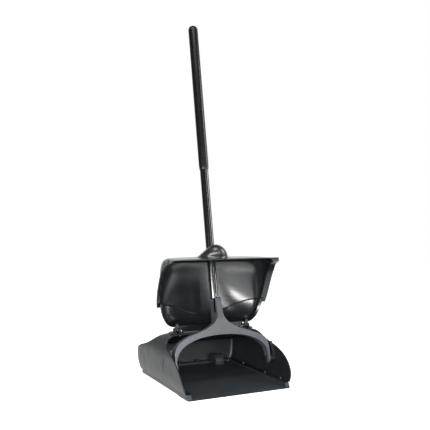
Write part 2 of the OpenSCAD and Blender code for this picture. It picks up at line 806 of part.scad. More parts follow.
// Dome that leans forward as it rises, moved in by t
module dome_solid(t) {
    loft([for (s = dome_level_shares) let (
        r = (dome_r - t) * sqrt(1 - s) + dome_flare * pow(max(0, 1 - s / flare_rise_share), 2),
        y = dome_y - dome_forward * (1 - pow(1 - s, 2)))
        [for (i = [0 : $fn - 1]) let (a = 360 * i / $fn)
            [r * cos(a), y + r * sin(a), hood_top + (dome_h - t) * s]]]);
}

module collar_dome() color(black) {
    at_crown = lean_back_at(handle_set, hood_top + dome_h);
    at_panel = lean_back_at(handle_set, hood_top);
    difference() {
        dome_solid(0);
        intersection() {
            dome_solid(dome_wall);
            translate([-2 * dome_r, dome_y - 2 * dome_r, hood_top + rim_h])
                cube([4 * dome_r, 4 * dome_r, dome_h]);
        }
        translate([0, dome_y, hood_top - over]) cylinder(r = dome_r - rim_w, h = rim_h + 2 * over);
        cover_slot(tube_r + handle_room, at_panel - panel_front, at_panel + panel_back,
            hood_top - over, hood_top + rim_h + over);
        cover_slot(tube_r + handle_room, at_crown - slot_front, at_crown + slot_back,
            hood_top + rim_h, hood_top + dome_h + over);
        for (p = collar_places()) translate([p.x, p.y, hood_top - over])
            cylinder(r = collar_screw_r + snug_gap, h = collar_screw_len);
    }
}

module collar_screws() color(steel) {
    for (p = collar_places()) translate([p.x, p.y, hood_top - hood_wall]) {
        translate([0, 0, -collar_head_t]) cylinder(r = collar_head_r, h = collar_head_t);
        cylinder(r = collar_screw_r, h = collar_screw_len);
    }
}

pan_shell();
floor_tray();
tray_screws();
hinge_block_left();
hinge_block_right();
hinge_block_screws();
pivot_bush_left();
pivot_bush_right();
axle_left();
axle_right();
wheel_left();
wheel_right();
yoke();
handle_tube();
grip_sleeve();
end_cap();
yoke_screw();
yoke_nut();
pivot_pin_left();
pivot_pin_right();
pivot_washers();
cover_hood();
cover_skirt();
collar_dome();
collar_screws();
hinge_pin_left();
hinge_pin_right();
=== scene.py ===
"""Looks of a lobby dustpan: a moulded pan, a hinged hood, and a long handle on a forked yoke."""
import json
from math import atan2, cos, pi, radians, sin, sqrt

import bmesh
import bpy
from mathutils import Matrix, Vector


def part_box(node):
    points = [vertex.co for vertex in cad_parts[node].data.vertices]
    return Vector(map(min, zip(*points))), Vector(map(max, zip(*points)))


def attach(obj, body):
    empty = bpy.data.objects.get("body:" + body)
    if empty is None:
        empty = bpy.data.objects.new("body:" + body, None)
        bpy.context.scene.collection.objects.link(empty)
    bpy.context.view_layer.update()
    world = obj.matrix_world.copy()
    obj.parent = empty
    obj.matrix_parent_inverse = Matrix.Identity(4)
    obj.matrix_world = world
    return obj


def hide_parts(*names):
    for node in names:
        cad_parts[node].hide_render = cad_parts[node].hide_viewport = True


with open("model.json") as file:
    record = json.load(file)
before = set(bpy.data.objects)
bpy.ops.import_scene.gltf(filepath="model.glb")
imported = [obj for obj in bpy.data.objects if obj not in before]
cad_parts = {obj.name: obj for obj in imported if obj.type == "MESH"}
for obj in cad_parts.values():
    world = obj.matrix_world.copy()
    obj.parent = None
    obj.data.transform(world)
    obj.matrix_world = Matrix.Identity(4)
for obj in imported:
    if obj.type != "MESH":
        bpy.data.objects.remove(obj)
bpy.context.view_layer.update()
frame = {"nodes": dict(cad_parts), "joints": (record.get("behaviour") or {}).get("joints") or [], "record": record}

MM = 0.001


def box(node):
    """Lowest and highest corner of a CAD solid in millimetres."""
    return [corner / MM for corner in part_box(node)]


# Joints, the handle's lean and the main sizes of the solids, in millimetres
JOINTS = {joint["name"]: Vector(joint["pos_m"]) / MM for joint in frame["joints"]}
MOUNTS = {mount["name"]: mount for mount in frame["record"]["mounts"]}
SLOTS = {part["node"]: part["material_slot"] for part in frame["record"]["subparts"]}
PIVOT = JOINTS["handle_tilt"]
HINGE = JOINTS["cover_swing"]
LEAN = Vector(MOUNTS["handle_grip"]["axis"])
SHELL_LOW = box("pan_shell")[0].z
DECK = box("pan_shell")[1].z
# The solid has a round pad at each pivot that stands this far proud of its wing
PAD_PROUD = 0.8
WING_HALF = box("pan_shell")[1].x - PAD_PROUD
REAR_Y = box("pan_shell")[1].y
LIP_HALF = box("floor_tray")[1].x
LIP_Y = box("floor_tray")[0].y
HOOD_TOP = box("cover_hood")[1].z
HOOD_HALF = box("cover_hood")[1].x
BRIM_Y = box("cover_hood")[0].y
BLOCK_IN = box("hinge_block_right")[0].x
HINGE_X = sum(corner.x for corner in box("hinge_block_right")) / 2
ARM_OUT = box("yoke")[1].x
TUBE_R = box("handle_tube")[1].x
GRIP_R = box("grip_sleeve")[1].x
YOKE_DEPTH = 22
# How far the handle's axis and the neck's rear lie behind the pivot
HANDLE_SET = 21.7
NECK_REAR = 31.2
PAN_WALL = 2.6
HOOD_WALL = 2.6
SKIRT_WALL = 2.4


def lean_y(back, z):
    """Place, at a height, of the leaning plane that lies some way behind the pivot."""
    return PIVOT.y + (back + (z - PIVOT.z) * LEAN.y) / LEAN.z


def clamp(value):
    """The value, held between 0 and 1."""
    return max(0.0, min(1.0, value))


def smooth_step(value):
    """An even S-curve from 0 to 1."""
    share = clamp(value)
    return share * share * (3 - 2 * share)


def bezier(points, t):
    """Point of a cubic curve."""
    a, b, c, d = points
    return (1 - t) ** 3 * a + 3 * (1 - t) ** 2 * t * b + 3 * (1 - t) * t * t * c + t ** 3 * d


def between(a, b, shares):
    """Point at a share of the way from a to b, each way on its own."""
    return Vector(p + share * (q - p) for p, q, share in zip(a, b, shares))


# Meshes: every bmesh is drawn in millimetres
MERGE = 0.001
FLAT_ANGLE = radians(0.6)
EASE_ANGLE = radians(32)
ROUND = 40
LID_RING = 5
UPRIGHT = Matrix.Identity(4)
ACROSS = Matrix.Rotation(pi / 2, 4, "Y")


def chain(bm, points, closed=False):
    """A row of edges through the points."""
    verts = [bm.verts.new(point) for point in points]
    ends = verts[1:] + verts[:1] if closed else verts[1:]
    return [bm.edges.new(pair) for pair in zip(verts, ends)]


def ends_in_order(row):
    """The points of a row of edges, from its first to its last."""
    verts = [row[0].verts[0]]
    for edge in row:
        verts.append(edge.other_vert(verts[-1]))
    return verts[:-1] if verts[-1] is verts[0] else verts


def loft(bm, rings, closed=False, lids=(False, False), ring=0):
    """A skin over rows of points, with its first and last row filled where asked.

    A lid gets a ring of the given width inside its edge, which keeps its middle evenly shaded."""
    rows = [chain(bm, points, closed) for points in rings]
    for low, high in zip(rows, rows[1:]):
        bmesh.ops.bridge_loops(bm, edges=low + high)
    for row, lid in ((rows[0], lids[0]), (rows[-1], lids[1])):
        if lid:
            face = bm.faces.new(ends_in_order(row))
            if ring:
                bmesh.ops.inset_region(bm, faces=[face], thickness=ring, use_even_offset=True)
    return bm


def thicken(bm, wall):
    """Gives an open skin its wall, to the inside."""
    bmesh.ops.recalc_face_normals(bm, faces=bm.faces)
    bmesh.ops.solidify(bm, geom=bm.faces, thickness=wall)


def block(bm, low, high):
    """A box between two corners."""
    low, high = Vector(low), Vector(high)
    place = Matrix.Translation((low + high) / 2) @ Matrix.Diagonal((*(high - low), 1))
    return bmesh.ops.create_cube(bm, size=1, matrix=place)["verts"]


def rod(bm, centre, radius, length, turn=ACROSS):
    """A round bar about its middle, along X unless it is turned another way."""
    bmesh.ops.create_cone(bm, cap_ends=True, segments=ROUND, radius1=radius, radius2=radius, depth=length,
        matrix=Matrix.Translation(centre) @ turn)


def lathe(profile, place, steps):
    """A profile of radius and height, turned about its own upright axis and then put in place."""
    bm = bmesh.new()
    row = chain(bm, [(radius, 0, height) for radius, height in profile])
    bmesh.ops.spin(bm, geom=ends_in_order(row) + row, cent=(0, 0, 0), axis=(0, 0, 1), angle=2 * pi,
        steps=steps, use_merge=True)
    bmesh.ops.remove_doubles(bm, verts=bm.verts, dist=MERGE)
    bmesh.ops.transform(bm, matrix=place, verts=bm.verts)
    return bm


def points_of(geom):
    """The points among what an operator made."""
    return [part for part in geom if isinstance(part, bmesh.types.BMVert)]


def faces_of(geom):
    """The faces among what an operator made."""
    return [part for part in geom if isinstance(part, bmesh.types.BMFace)]


def to_mesh(name, bm):
    """A mesh in metres with its faces outwards."""
    bmesh.ops.remove_doubles(bm, verts=bm.verts, dist=MERGE)
    bmesh.ops.recalc_face_normals(bm, faces=bm.faces)
    bmesh.ops.scale(bm, vec=(MM, MM, MM), verts=bm.verts)
    for face in bm.faces:
        face.smooth = True
    mesh = bpy.data.meshes.new(name)
    bm.to_mesh(mesh)
    bm.free()
    return mesh


def opened(mesh):
    """A bmesh in millimetres of a mesh in metres."""
    bm = bmesh.new()
    bm.from_mesh(mesh)
    bmesh.ops.scale(bm, vec=(1 / MM,) * 3, verts=bm.verts)
    return bm


def solid_of(node):
    """A copy of a CAD solid in millimetres, with its triangles joined into whole faces."""
    bm = opened(frame["nodes"][node].data)
    bmesh.ops.remove_doubles(bm, verts=bm.verts, dist=MERGE)
    bmesh.ops.dissolve_limit(bm, angle_limit=FLAT_ANGLE, verts=bm.verts, edges=bm.edges)
    return bm


def cut(mesh, cutter_bm):
    """The mesh with the cutter's room taken out of it."""
    blank = bpy.data.objects.new("blank", mesh)
    cutter = bpy.data.objects.new("cutter", to_mesh("cutter", cutter_bm))
    for obj in (blank, cutter):
        bpy.context.scene.collection.objects.link(obj)
    boolean = blank.modifiers.new("cut", "BOOLEAN")
    boolean.object = cutter
    boolean.operation = "DIFFERENCE"
    boolean.solver = "EXACT"
    bpy.context.view_layer.update()
    result = bpy.data.meshes.new_from_object(blank.evaluated_get(bpy.context.evaluated_depsgraph_get()))
    for obj in (blank, cutter):
        bpy.data.objects.remove(obj)
    return result


# Materials
def linear(code):
    """Linear colour of an sRGB hex value."""
    parts = [int(code[i:i + 2], 16) / 255 for i in (1, 3, 5)]
    return (*[part / 12.92 if part <= 0.04045 else ((part + 0.055) / 1.055) ** 2.4 for part in parts], 1)


def add(tree, kind, inputs=None, **fields):
    """Adds a node with its fields, and sets or links its inputs."""
    node = tree.nodes.new("ShaderNode" + kind)
    for name, value in fields.items():
        setattr(node, name, value)
    for name, value in (inputs or {}).items():
        if isinstance(value, bpy.types.NodeSocket):
            tree.links.new(value, node.inputs[name])
        else:
            node.inputs[name].default_value = value
    return node


def per_mm(size):
    """Noise scale for a pattern of that size in millimetres."""
    return 1 / (size * MM)


def finish(name, dark, light, rough, grain, depth, sockets, stretch=(1, 1, 1), blotch=30):
    """A surface with a fine grain, faint cloudy tone and a gloss that wanders a little.

    dark and light are the two tones and rough the lowest and highest roughness. grain is the size of the
    grain, depth its height and blotch the size of the clouds, in millimetres. stretch draws the grain out
    along an axis, and sockets are the constants of the shader."""
    material = bpy.data.materials.new(name)
    material.use_nodes = True
    tree = material.node_tree
    tree.nodes.clear()
    place = add(tree, "TexCoord").outputs["Object"]
    along = add(tree, "Mapping", {"Vector": place, "Scale": stretch}).outputs["Vector"]
    clouds = add(tree, "TexNoise", {"Vector": place, "Scale": per_mm(blotch), "Detail": 4.0,
        "Roughness": 0.6}).outputs["Fac"]
    grains = add(tree, "TexNoise", {"Vector": along, "Scale": per_mm(grain), "Detail": 2.0}).outputs["Fac"]
    tone = add(tree, "MixRGB", {"Fac": clouds, "Color1": linear(dark), "Color2": linear(light)})
    gloss = add(tree, "MapRange", {"Value": clouds, "From Min": 0.3, "From Max": 0.7,
        "To Min": rough[0], "To Max": rough[1]})
    bump = add(tree, "Bump", {"Height": grains, "Strength": 0.5, "Distance": depth * MM})
    shader = add(tree, "BsdfPrincipled", {"Base Color": tone.outputs["Color"],
        "Roughness": gloss.outputs["Result"], "Normal": bump.outputs["Normal"], **sockets})
    add(tree, "OutputMaterial", {"Surface": shader.outputs["BSDF"]})
    return material


# A clean moulding, a grained one whose glare is broken up, and a soft skin with the weakest glare
PLASTIC = {"IOR": 1.5}
GRAINED = {"IOR": 1.38}
SOFT = {"IOR": 1.3}
# The grain of a mould is finer than a pixel, so it is drawn coarser than life, at 1 to 3 mm
MATERIALS = {
    # Polypropylene from a spark-eroded mould: satin black, with a fine even grain that softens the glare
    "shell_plastic": finish("moulded_polypropylene", "#0c0e10", "#121517", (0.4, 0.48), 1.1, 0.02, GRAINED),
    # The tray wears under litter: greyer, a little more mottled and slightly rubbed
    "tray_plastic": finish("worn_polypropylene", "#1e2225", "#272b2e", (0.36, 0.46), 1.4, 0.04, GRAINED,
        blotch=18),
    # The hood comes from a smoother mould, so its hollow shows broad soft glare
    "hood_plastic": finish("smooth_polypropylene", "#090b0d", "#0e1113", (0.19, 0.25), 1.6, 0.008, PLASTIC,
        blotch=50),
    # ABS from a smooth mould: near black with soft bright spots
    "dome_plastic": finish("smooth_abs", "#141517", "#1a1b1d", (0.3, 0.36), 3.0, 0.01, PLASTIC),
    # Glass-filled nylon: satin with faint flow lines across. Its dark grey, lighter than the black mouldings, is
    # partly its own tone and partly painted sheen standing in for the glare of a lamp in front
    "yoke_plastic": finish("glass_filled_nylon", "#303337", "#3c3f43", (0.32, 0.4), 1.2, 0.03, PLASTIC,
        stretch=(0.12, 1, 1), blotch=22),
    # Steel tube with a glossy black vinyl coat that waves very slightly
    "coated_tube": finish("vinyl_coated_steel", "#08080a", "#0c0c0e", (0.12, 0.16), 14.0, 0.001, PLASTIC,
        blotch=60),
    # Soft vinyl sleeve: deep black with a soft sheen and a faint grain
    "grip_vinyl": finish("soft_vinyl", "#060607", "#09090b", (0.26, 0.34), 1.8, 0.004, SOFT, blotch=25),
    # Polyethylene wheels and acetal bushes: dull and plain
    "wheel_plastic": finish("polyethylene", "#1a1b1c", "#232425", (0.45, 0.58), 1.5, 0.05, PLASTIC,
        blotch=10),
    "bush_plastic": finish("acetal", "#232526", "#2a2c2e", (0.35, 0.45), 1.2, 0.02, PLASTIC, blotch=8),
    # Zinc plate: bright grey with a fine directionless sparkle
    "plated_steel": finish("zinc_plated_steel", "#5c5f63", "#74777b", (0.34, 0.46), 0.8, 0.01,
        {"Metallic": 1.0}, blotch=5),
}


# Outlines in plan
SIDE_STEPS = 10
CORNER_STEPS = 6
REAR_STEPS = 8


def half_outline(half, rear, front, radius):
    """Plan from the front of the right side round its corner to the middle of the rear."""
    side = [(half, front + (rear - radius - front) * i / SIDE_STEPS) for i in range(SIDE_STEPS)]
    turn = [radians(90 * i / CORNER_STEPS) for i in range(CORNER_STEPS + 1)]
    corner = [(half - radius + radius * cos(a), rear - radius + radius * sin(a)) for a in turn]
    back = [((half - radius) * (1 - i / REAR_STEPS), rear) for i in range(1, REAR_STEPS + 1)]
    return side + corner + back


def both_sides(half):
    """A half outline and its mirror image, from the right front to the left front."""
    return half + [(-x, y) for x, y in reversed(half[:-1])]


def at_height(outline, z):
    """A plan, laid at a height."""
    return [(x, y, z) for x, y in outline]


# Pan shell: the wings' width over their height
PAN_CORNER = 12
LIP_REVEAL = 3.5
FOOT_HALF = LIP_HALF + LIP_REVEAL
FOOT_TUCK_POWER = 3
FLAT_SHARE = 0.7
FLAT_HALF = FLAT_SHARE * WING_HALF
SHOULDER_SHARE = 0.46
SHOULDER_LOW = SHELL_LOW + SHOULDER_SHARE * (DECK - SHELL_LOW)
SHOULDER_POWER = 2.2
# The deck's flat part and its S-shaped fall to the rear
FLAT_REACH = 15
FLAT_END = HINGE.y + FLAT_REACH
DECK_FALL = 50
FALL_NEAR_SHARE = 0.6
FALL_NEAR_POWER = 0.6
FALL_FAR_POWER = 4
FALL_ROUND = 10
REAR_TUCK = 3
REAR_TUCK_POWER = 2
# The wing's front edge: from the lip up to a knee, and from there to the deck, clear of the neck
WING_SET = 9
WING_LOW_SHARES = (0.02, 0.54)
WING_HIGH_SHARES = (0.44, 0.85)
KNEE_SHARE = 0.73
KNEE_FRONT = 52
KNEE_PULL = 10
STOP_GAP = 0.3
DECK_FRONT = lean_y(NECK_REAR, DECK) + STOP_GAP
WING_START = Vector((LIP_Y + WING_SET, SHELL_LOW))
KNEE = Vector((HINGE.y - KNEE_FRONT, SHELL_LOW + KNEE_SHARE * (DECK - SHELL_LOW)))
WING_CURVE = [WING_START, between(WING_START, KNEE, WING_LOW_SHARES),
    between(WING_START, KNEE, WING_HIGH_SHARES), KNEE]
RISE_CURVE = [KNEE, KNEE + Vector((KNEE_PULL, KNEE_PULL / 4)), Vector((DECK_FRONT, KNEE.y + KNEE_PULL)),
    Vector((DECK_FRONT, DECK))]
HALVINGS = 40


def pan_half(z):
    """Half width of the shell at a height."""
    rise = clamp((z - SHOULDER_LOW) / (DECK - SHOULDER_LOW))
    low_share = max(0, 1 - (z - SHELL_LOW) / (SHOULDER_LOW - SHELL_LOW))
    tuck = (WING_HALF - FOOT_HALF) * low_share ** FOOT_TUCK_POWER
    return FLAT_HALF + (WING_HALF - FLAT_HALF) * (1 - rise ** SHOULDER_POWER) ** (1 / SHOULDER_POWER) - tuck


def pan_rear(z):
    """Place of the shell's rear at a height: an S-shaped fall that rounds into an upright back."""
    drop = max(0, DECK - z) / DECK_FALL
    share = FALL_NEAR_SHARE * drop ** FALL_NEAR_POWER + (1 - FALL_NEAR_SHARE) * drop ** FALL_FAR_POWER
    low_share = max(0, 1 - (z - SHELL_LOW) / (DECK / 2 - SHELL_LOW))
    tuck = REAR_TUCK * low_share ** REAR_TUCK_POWER
    return FLAT_END + (REAR_Y - FLAT_END) * share / (1 + share ** FALL_ROUND) ** (1 / FALL_ROUND) - tuck


def mouth_y(z):
    """Place of the wing's front edge at a height, found by halving."""
    curve = WING_CURVE if z < KNEE.y else RISE_CURVE
    low, high = 0.0, 1.0
    for _ in range(HALVINGS):
        middle = (low + high) / 2
        low, high = (middle, high) if bezier(curve, middle).y < z else (low, middle)
    return bezier(curve, low).x


# The shell's flange, its dishes and bosses at the pivots, its ribs, and the bosses of the tray's screws
SHELL_LEVELS = 30
FLANGE_T = 3
LEDGE_W = 11
LEDGE_CORNER = 2
DISH_R = 33
DISH_DEPTH = 0.8
BOSS_R = 10
BOSS_LEN = 12.5
RIB_T = 3
RIB_IN = 6
RIB_FROM = 122.7
RIB_DROP = 2
RIB_TOP_SHARE = 0.78
RIB_LEVELS = 12
SCREW_BOSS_R = 4.6
SCREW_BOSS_H = 8
SCREW_SIDE_SHARES = (0.12, 0.36, 0.74)
SCREW_REAR_SHARE = 0.2


def wing_rib(bm, side):
    """Rib on the inside of a wing, beside the arm of the yoke."""
    low, high = PIVOT.z - RIB_DROP, RIB_TOP_SHARE * DECK
    rings = []
    for i in range(RIB_LEVELS + 1):
        z = low + (high - low) * i / RIB_LEVELS
        outer = pan_half(z) - PAN_WALL / 2
        inner = max(RIB_FROM, outer - PAN_WALL / 2 - RIB_IN)
        front = lean_y(RIB_T - YOKE_DEPTH / 2, z)
        back = front + RIB_T
        corners = ((outer, front), (outer, back), (inner, back), (inner, front))
        rings.append([(side * x, y, z) for x, y in corners])
    loft(bm, rings, closed=True, lids=(True, True))


def tray_screw_places():
    """Places of the screws that hold the tray: along both sides and across the rear."""
    inset = LIP_REVEAL + LEDGE_W / 2
    half, rear = FOOT_HALF - inset, pan_rear(SHELL_LOW) - inset
    sides = [(side * half, LIP_Y + (rear - LIP_Y) * share) for share in SCREW_SIDE_SHARES for side in (-1, 1)]
    return sides + [(side * SCREW_REAR_SHARE * half, rear) for side in (-1, 1)]


def pan_shell():
    """The shell's skin from the deck down, with its flange, ribs, bosses and a round dish at each pivot."""
    bm = bmesh.new()
    levels = [DECK - (DECK - SHELL_LOW) * (i / SHELL_LEVELS) ** 2 for i in range(SHELL_LEVELS + 1)]
    rings = [at_height(both_sides(half_outline(pan_half(z), pan_rear(z), mouth_y(z), PAN_CORNER)), z)
        for z in levels]
    loft(bm, rings, lids=(True, False), ring=LID_RING)
    thicken(bm, PAN_WALL)
    dishes = bmesh.new()
    for side in (-1, 1):
        rod(dishes, (side * (WING_HALF + DISH_R / 2 - DISH_DEPTH), PIVOT.y, PIVOT.z), DISH_R, DISH_R)
    bm = opened(cut(to_mesh("pan_shell", bm), dishes))
    front, rear = LIP_Y + WING_SET + PAN_WALL, pan_rear(SHELL_LOW)
    outer = both_sides(half_outline(FOOT_HALF - PAN_WALL, rear - PAN_WALL, front, PAN_CORNER))
    inner = both_sides(half_outline(LIP_HALF - LEDGE_W, rear - LIP_REVEAL - LEDGE_W, front, LEDGE_CORNER))
    rows = [at_height(outer, SHELL_LOW), at_height(outer, SHELL_LOW + FLANGE_T),
        at_height(inner, SHELL_LOW + FLANGE_T), at_height(inner, SHELL_LOW)]
    loft(bm, rows + rows[:1])
    for x, y in tray_screw_places():
        rod(bm, (x, y, SHELL_LOW + SCREW_BOSS_H / 2), SCREW_BOSS_R, SCREW_BOSS_H, UPRIGHT)
    for side in (-1, 1):
        wing_rib(bm, side)
        middle = WING_HALF - PAN_WALL - BOSS_LEN / 2
        rod(bm, (side * middle, PIVOT.y, PIVOT.z), BOSS_R, BOSS_LEN + PAN_WALL)
    return bm


# Toe of each side rail: its length, its lap into the rail, and the heights of its underside and its tip
TOE_RUN = 4.5
TOE_LAP = 0.5
TOE_LOW = 1
TOE_TOP = 3.5


def floor_tray():
    """The tray as in the CAD, with a sloped toe in front of each side rail."""
    bm = solid_of("floor_tray")
    rail_y = LIP_Y + WING_SET
    for side in (-1, 1):
        toe = block(bm, (side * (LIP_HALF - LEDGE_W), rail_y - TOE_RUN, TOE_LOW),
            (side * LIP_HALF, rail_y + TOE_LAP, SHELL_LOW))
        for vert in toe:
            if vert.co.y < rail_y and vert.co.z > TOE_TOP:
                vert.co.z = TOE_TOP
    return bm


# Cover: a bowl over the hinge, cut by a seam into the hood and the skirt that laps inside it
SEAT_GAP = 0.3
SKIRT_IN = HOOD_WALL + SEAT_GAP
EAR_R = 6
EAR_CLEAR = 1.2
BOWL_LOW = HINGE.z + EAR_R + EAR_CLEAR - SKIRT_IN
BOWL_H = HOOD_TOP - BOWL_LOW
BOWL_FOOT_SIDE = 3
BOWL_FOOT_BACK = 15
BOWL_FOOT_HALF = HINGE_X + BOWL_FOOT_SIDE
BOWL_FOOT_Y = HINGE.y + BOWL_FOOT_BACK
BACK_REACH = 67
BOWL_MID = 28
BOWL_POWER = 2.1
BOWL_STEPS = 40
SIDE_FULL_SHARE = 0.6
SIDE_POWER = 2.2
BACK_FULL_SHARE = 0.72
SIDE_ROUND = 14
BACK_ROUND = 28
BRIM_IN = 6
BRIM_IN_SHARE = 0.8
BRIM_H = 9
# The side flange outside a crease behind the front edge, full on the hood and narrower on the skirt
FLANGE_W = 10
FLANGE_RUN = 8
SKIRT_FLANGE_SHARE = 0.4
CREASE_SET = 1
# The front edge, which is drawn in to a neck above the hinge
EDGE_NECK_FRONT = 6
EDGE_NECK_SHARE = 0.3
EDGE_POWER = 0.5
EDGE_FOOT_SET = 3
# The seam, lowest in the middle
SEAM_LOW_SHARE = 0.14
SEAM_HIGH_SHARE = 0.36
SEAM_LAP = 8
SEAM_ROUNDS = 6


def edge_y(z):
    """Place of the cover's front edge at a height."""
    brim_z, neck_z = HOOD_TOP - BRIM_H, BOWL_LOW + EDGE_NECK_SHARE * BOWL_H
    neck_y = HINGE.y - EDGE_NECK_FRONT
    if z > neck_z:
        return BRIM_Y + (neck_y - BRIM_Y) * clamp((brim_z - z) / (brim_z - neck_z)) ** EDGE_POWER
    return neck_y + (EDGE_NECK_FRONT + EDGE_FOOT_SET) * clamp((neck_z - z) / (neck_z - BOWL_LOW))


def bowl_half(z, inset):
    """Half width of the bowl at a height."""
    rise = clamp((z - BOWL_LOW - inset) / (SIDE_FULL_SHARE * BOWL_H))
    share = (z - BOWL_LOW) / BOWL_H
    round_side = (1 - (1 - rise) ** SIDE_POWER) ** (1 / SIDE_POWER)
    return (BOWL_FOOT_HALF - inset + (HOOD_HALF - FLANGE_W - BOWL_FOOT_HALF) * round_side
        - BRIM_IN * smooth_step((share - BRIM_IN_SHARE) / (1 - BRIM_IN_SHARE)))


def bowl_back(z, inset):
    """Place of the bowl's back at a height."""
    rise = clamp((z - BOWL_LOW - inset) / (BACK_FULL_SHARE * BOWL_H))
    over = clamp((z - (HOOD_TOP - inset - BACK_ROUND)) / BACK_ROUND)
    return (BOWL_FOOT_Y - inset + (HINGE.y + BACK_REACH - BOWL_FOOT_Y) * sqrt(1 - (1 - rise) ** 2)
        - BACK_ROUND * (1 - sqrt(1 - over * over)))


def bowl_outline(z, inset, flange):
    """Plan of the cover at a height, from the right front edge round the back to the left.

    flange is the share of the side flange's full width."""
    over = clamp((z - (HOOD_TOP - inset - SIDE_ROUND)) / SIDE_ROUND)
    rim = bowl_half(z, inset) + FLANGE_W * flange
    half = bowl_half(z, inset) - SIDE_ROUND * (1 - sqrt(1 - over * over))
    crease = edge_y(z) + CREASE_SET + FLANGE_RUN * flange
    middle = max(HINGE.y - BOWL_MID, crease + CREASE_SET)
    back = bowl_back(z, inset)
    turn = [pi / 2 * i / BOWL_STEPS for i in range(BOWL_STEPS + 1)]
    power = 2 / BOWL_POWER
    bowl = [(half * cos(a) ** power if i < BOWL_STEPS else 0.0, middle + (back - middle) * sin(a) ** power)
        for i, a in enumerate(turn)]
    edge = [(rim, edge_y(z)), ((rim + half) / 2, (edge_y(z) + crease) / 2), (half, crease)]
    return both_sides(edge + bowl)


def seam(x):
    """Height of the seam at a distance from the middle."""
    share = smooth_step(abs(x) / HOOD_HALF)
    return BOWL_LOW + BOWL_H * (SEAM_LOW_SHARE + (SEAM_HIGH_SHARE - SEAM_LOW_SHARE) * share)


def seam_heights(inset, lift, flange):
    """Height of the seam for each point of the bowl's outline, settled in a few rounds."""
    heights = [seam(x) + lift for x, _ in bowl_outline(BOWL_LOW + BOWL_H / 2, inset, flange)]
    for _ in range(SEAM_ROUNDS):
        heights = [seam(bowl_outline(z, inset, flange)[i][0]) + lift for i, z in enumerate(heights)]
    return heights


def bowl_rows(lows, highs, shares, inset, flange):
    """Rows of the bowl between two heights given for each point of its outline."""
    rows = []
    for share in shares:
        row = []
        for i, (low, high) in enumerate(zip(lows, highs)):
            z = low + (high - low) * share
            row.append((*bowl_outline(z, inset, flange)[i], z))
        rows.append(row)
    return rows


# Dome round the handle
DOME_R = 40
DOME_H = 34
DOME_WALL = 3
DOME_FORWARD = 20
DOME_FLARE = 3
DOME_FLARE_SHARE = 0.13
DOME_TOP_SHARE = 0.995
DOME_SET = 2
DOME_Y = HINGE.y - DOME_SET
DOME_LEVELS = 20
# Slots that let the handle swing, in the hood's flat top and in the dome's crown: their front and rear ends
# are given from the handle's axis at rest
SLOT_ROOM = 0.9
PANEL_AXIS = lean_y(HANDLE_SET, HOOD_TOP)
PANEL_FRONT = 40.15
PANEL_BACK = 1.55
CROWN_AXIS = lean_y(HANDLE_SET, HOOD_TOP + DOME_H)
CROWN_FRONT = 24.6
CROWN_BACK = 1.9
OVERRUN = 5
# Hood
HOOD_LEVELS = 26
BRIM_T = 4
BRIM_SINK = 0.05
PANEL_CUT = 20


def slot_cutter(front, back, low, high):
    """Long round hole for the handle between two places of its axis, from low to high."""
    radius = TUBE_R + SLOT_ROOM
    turn = [radians(180 * i / ROUND) for i in range(ROUND + 1)]
    outline = [(radius * cos(a), back + radius * sin(a)) for a in turn]
    outline += [(-radius * cos(a), front - radius * sin(a)) for a in turn]
    rings = [at_height(outline, low), at_height(outline, high)]
    return loft(bmesh.new(), rings, closed=True, lids=(True, True))


def cover_hood():
    """The hood's skin from the seam to its flat top, with the turned-down brim and the handle's slot."""
    bm = bmesh.new()
    lows = seam_heights(0, -SEAM_LAP, 1)
    shares = [sin(pi / 2 * i / HOOD_LEVELS) for i in range(HOOD_LEVELS + 1)]
    loft(bm, bowl_rows(lows, [HOOD_TOP] * len(lows), shares, 0, 1), lids=(False, True), ring=LID_RING)
    thicken(bm, HOOD_WALL)
    rim = bowl_half(HOOD_TOP, 0) + FLANGE_W
    block(bm, (-rim, BRIM_Y, HOOD_TOP - BRIM_H), (rim, BRIM_Y + BRIM_T, HOOD_TOP - BRIM_SINK))
    slot = slot_cutter(PANEL_AXIS - PANEL_FRONT, PANEL_AXIS + PANEL_BACK, HOOD_TOP - PANEL_CUT,
        HOOD_TOP + OVERRUN)
    return cut(to_mesh("cover_hood", bm), slot)


def collar_dome():
    """The dome that leans forward as it rises, hollow and slotted for the handle."""
    bm = bmesh.new()
    turn = [2 * pi * k / ROUND for k in range(ROUND)]
    rings = []
    for i in range(DOME_LEVELS + 1):
        share = DOME_TOP_SHARE * sin(pi / 2 * i / DOME_LEVELS) ** 2
        radius = DOME_R * sqrt(1 - share) + DOME_FLARE * max(0, 1 - share / DOME_FLARE_SHARE) ** 2
        y = DOME_Y - DOME_FORWARD * (1 - (1 - share) ** 2)
        rings.append([(radius * cos(a), y + radius * sin(a), HOOD_TOP + DOME_H * share) for a in turn])
    loft(bm, rings, closed=True, lids=(False, True))
    thicken(bm, DOME_WALL)
    slot = slot_cutter(CROWN_AXIS - CROWN_FRONT, CROWN_AXIS + CROWN_BACK, HOOD_TOP - OVERRUN,
        HOOD_TOP + DOME_H + OVERRUN)
    return cut(to_mesh("collar_dome", bm), slot)


# Skirt, with a bead inside its upper edge
SKIRT_LEVELS = 16
SKIRT_OVER = SEAM_LAP / 4
BEAD_IN = 2.2
BEAD_SINK = 0.5
BEAD_H = 4
BEAD_STEPS = 8
# Its hinge legs with their eyes, and the apron behind them that closes the gap above the deck. The apron's
# middle reaches down between the hinge blocks, and its two cheeks stop above the blocks' feet
EYE_W = 8
EYE_R = 5.5
LEG_D = 8
LEG_H = 15
APRON_GAP = 0.6
APRON_HALF = BLOCK_IN - APRON_GAP
APRON_SET = 4
APRON_LIFT = 1.4
CHEEK_LAP = 1
CHEEK_SET = 8.2
CHEEK_LIFT = 5.6


